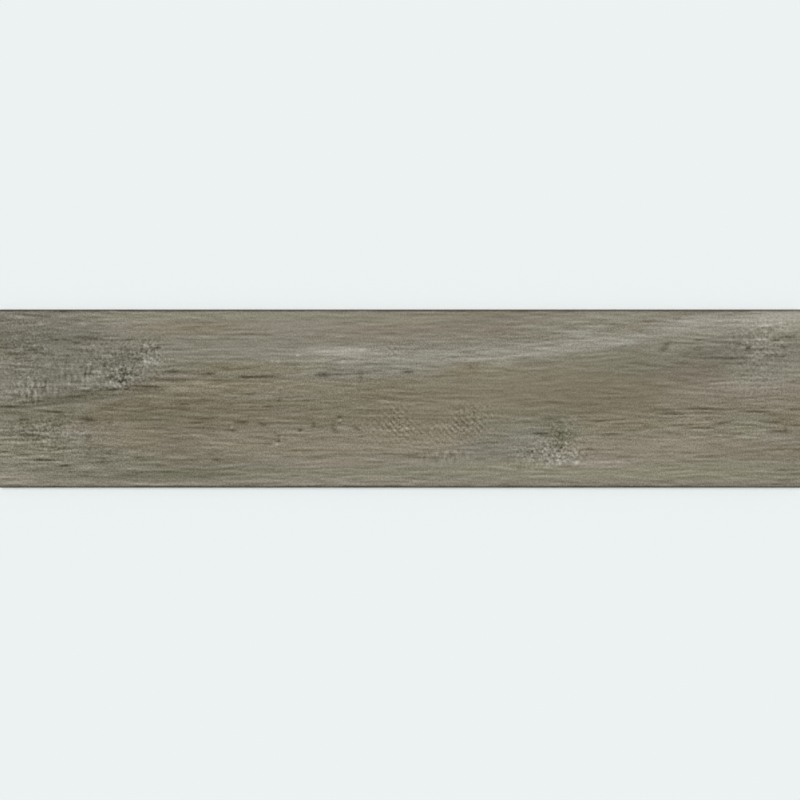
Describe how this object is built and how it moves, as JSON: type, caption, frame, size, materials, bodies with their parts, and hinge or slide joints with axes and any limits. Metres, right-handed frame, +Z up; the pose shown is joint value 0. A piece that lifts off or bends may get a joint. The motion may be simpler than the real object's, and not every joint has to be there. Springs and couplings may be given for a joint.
{
  "type": "wood look porcelain plank tile",
  "caption": "Long flat porcelain floor tile with a grey-brown wood grain face, rounded pressed edges and a waffle-keyed back for bedding in adhesive.",
  "frame": {"origin": "middle of the plane that the ribs of the tile's back stand on", "axes": "+X along the plank, +Y across the plank, +Z up from the bed to the printed face"},
  "size_m": [0.9, 0.2, 0.0095],
  "materials": {
    "glazed_porcelain": "matt structured glaze with a grey-brown wood grain print over a pale porcelain body"
  },
  "bodies": {
    "root": {"plank_tile": "glazed_porcelain"}
  },
  "joints": []
}
